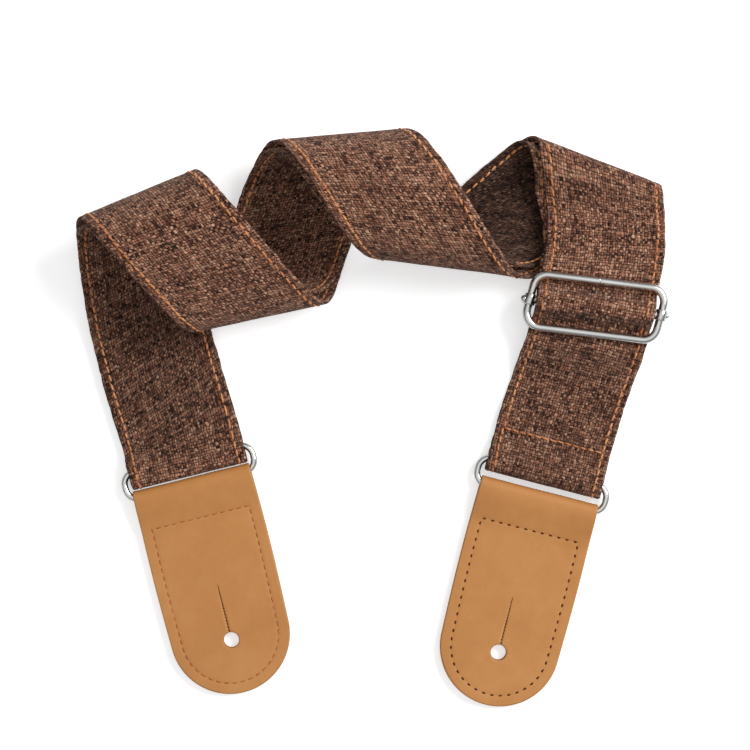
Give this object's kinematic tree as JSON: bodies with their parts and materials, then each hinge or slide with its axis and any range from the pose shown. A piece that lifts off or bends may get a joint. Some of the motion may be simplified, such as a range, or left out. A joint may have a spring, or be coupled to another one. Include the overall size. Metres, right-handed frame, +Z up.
{
  "type": "guitar strap",
  "caption": "Woven guitar strap lying in loose coils, with tan leather button ends hung on wire rings and a wire slider that adjusts its length.",
  "frame": {"origin": "axis of the button hole in the left leather end, at table level", "axes": "+Z up from the table the strap lies on, +Y from the leather ends towards the coils, +X from the left end to the right end"},
  "size_m": [0.2496, 0.2445, 0.0416],
  "materials": {
    "fabric": "coarse linen-look weave, brown and black mottle, matt",
    "seam_thread": "orange-brown sewing thread, slight sheen",
    "leather": "smooth tan leather, fine grain, soft sheen",
    "leather_thread": "thread sunk in its needle holes",
    "wire": "bright nickel plate, slightly brushed"
  },
  "bodies": {
    "strap": {"main_run_face_ply": "fabric", "main_run_back_ply": "fabric", "main_run_left_seam": "seam_thread", "main_run_right_seam": "seam_thread", "return_run_face_ply": "fabric", "return_run_back_ply": "fabric", "return_run_left_seam": "seam_thread", "return_run_right_seam": "seam_thread", "left_ring_fold": "fabric", "main_run_over_bar": "fabric", "return_run_end": "fabric", "lower_strap": "fabric", "lower_strap_edge_seams": "seam_thread", "lower_strap_cross_seam": "seam_thread"},
    "tail": {"tail_loop": "fabric", "tail_seam": "seam_thread"},
    "bar": {"slider_bar": "wire"},
    "frame": {"slider_frame": "wire"},
    "ring_left": {"left_ring": "wire"},
    "ring_right": {"right_ring": "wire"},
    "end_left": {"left_leather_end": "leather", "left_leather_thread": "leather_thread"},
    "end_right": {"right_leather_end": "leather", "right_leather_thread": "leather_thread"}
  },
  "joints": [
    {"name": "left_ring_swing", "type": "hinge", "parent": "strap", "child": "ring_left", "pos_m": [-0.01921, 0.07704, 0.0037], "axis": [0.9703, 0.2419, 0], "range_deg": [-70, 70]},
    {"name": "left_end_swing", "type": "hinge", "parent": "ring_left", "child": "end_left", "pos_m": [-0.01645, 0.06598, 0.0037], "axis": [0.9703, 0.2419, 0], "range_deg": [-70, 70]},
    {"name": "right_ring_swing", "type": "hinge", "parent": "strap", "child": "ring_right", "pos_m": [0.13347, 0.07159, 0.0037], "axis": [0.9684, -0.2495, 0], "range_deg": [-70, 70]},
    {"name": "right_end_swing", "type": "hinge", "parent": "ring_right", "child": "end_right", "pos_m": [0.13063, 0.06055, 0.0037], "axis": [0.9684, -0.2495, 0], "range_deg": [-70, 70]},
    {"name": "slider_travel", "type": "slide", "parent": "strap", "child": "tail", "axis": [-0.2495, -0.9684, 0], "range_m": [0, 0.022], "deforming": ["main_run_over_bar", "return_run_end"]},
    {"name": "slider_tilt", "type": "hinge", "parent": "tail", "child": "bar", "pos_m": [0.15406, 0.14128, 0.01235], "axis": [0.9925, -0.1219, 0], "range_deg": [-5, 5], "deforming": ["main_run_over_bar", "return_run_end"]},
    {"name": "frame_shift", "type": "slide", "parent": "bar", "child": "frame", "axis": [0.2588, 0.9659, 0], "range_m": [-0.0015, 0.0015], "deforming": ["main_run_over_bar", "return_run_end"]}
  ]
}
